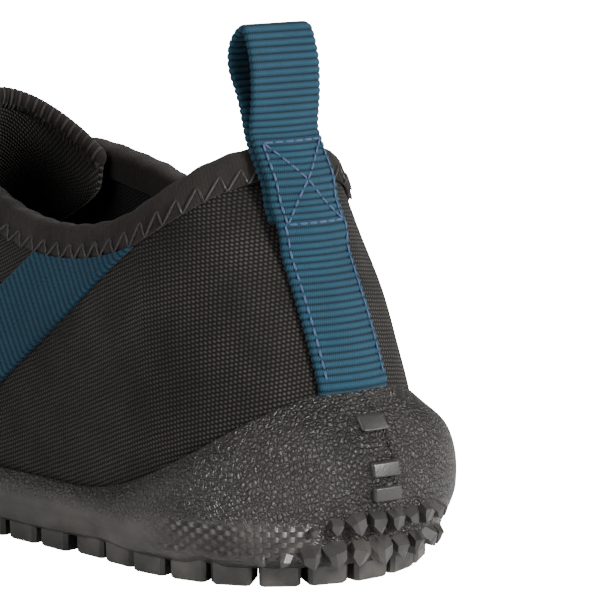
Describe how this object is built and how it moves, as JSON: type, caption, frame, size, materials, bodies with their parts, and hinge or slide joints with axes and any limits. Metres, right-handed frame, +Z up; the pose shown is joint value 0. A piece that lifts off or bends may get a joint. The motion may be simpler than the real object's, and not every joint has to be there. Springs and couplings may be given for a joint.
{
  "type": "water shoe",
  "caption": "Low slip-on water shoe for the left foot: stretch neoprene upper, rubber cup sole, webbing heel strap with pull loop.",
  "frame": {"origin": "on the ground, in the middle of the shoe's box seen from above", "axes": "+Z up, toe towards -Y, heel towards +Y, +X to the outer (lateral) side of the left foot"},
  "size_m": [0.1012, 0.2775, 0.1111],
  "materials": {
    "rubber": "moulded rubber, dark warm grey, fine leather grain, satin",
    "foam": "closed-cell foam, dark grey, matt",
    "board": "stitched fibre board, buff, matt",
    "lining": "black mesh lining",
    "knit": "black knit over neoprene, fine rows of loops",
    "counter": "thin moulded stiffener sheet, grey",
    "binding": "soft brushed knit tape, warm dark grey",
    "webbing": "ribbed petrol-blue webbing",
    "stretch": "brushed stretch knit, near black"
  },
  "bodies": {
    "shoe": {"outsole": "rubber", "midsole_foam": "foam", "strobel_board": "board", "insole_foam": "foam", "insole_cloth": "lining", "quarter_lateral": "knit", "quarter_medial": "knit", "vamp": "knit", "heel_counter": "counter", "heel_lining": "lining", "collar_binding": "binding", "heel_strap": "webbing", "side_band_lateral": "webbing", "side_band_medial": "webbing", "loop_tail": "webbing", "instep_panel": "stretch", "instep_hem": "binding"},
    "pull_loop": {"pull_loop": "webbing"}
  },
  "joints": [
    {"name": "pull_loop_flop", "type": "hinge", "parent": "shoe", "child": "pull_loop", "pos_m": [0, 0.1073, 0.0884], "axis": [1, 0, 0], "range_deg": [-95, 0], "stiffness_Nm_per_rad": 0.0005}
  ]
}
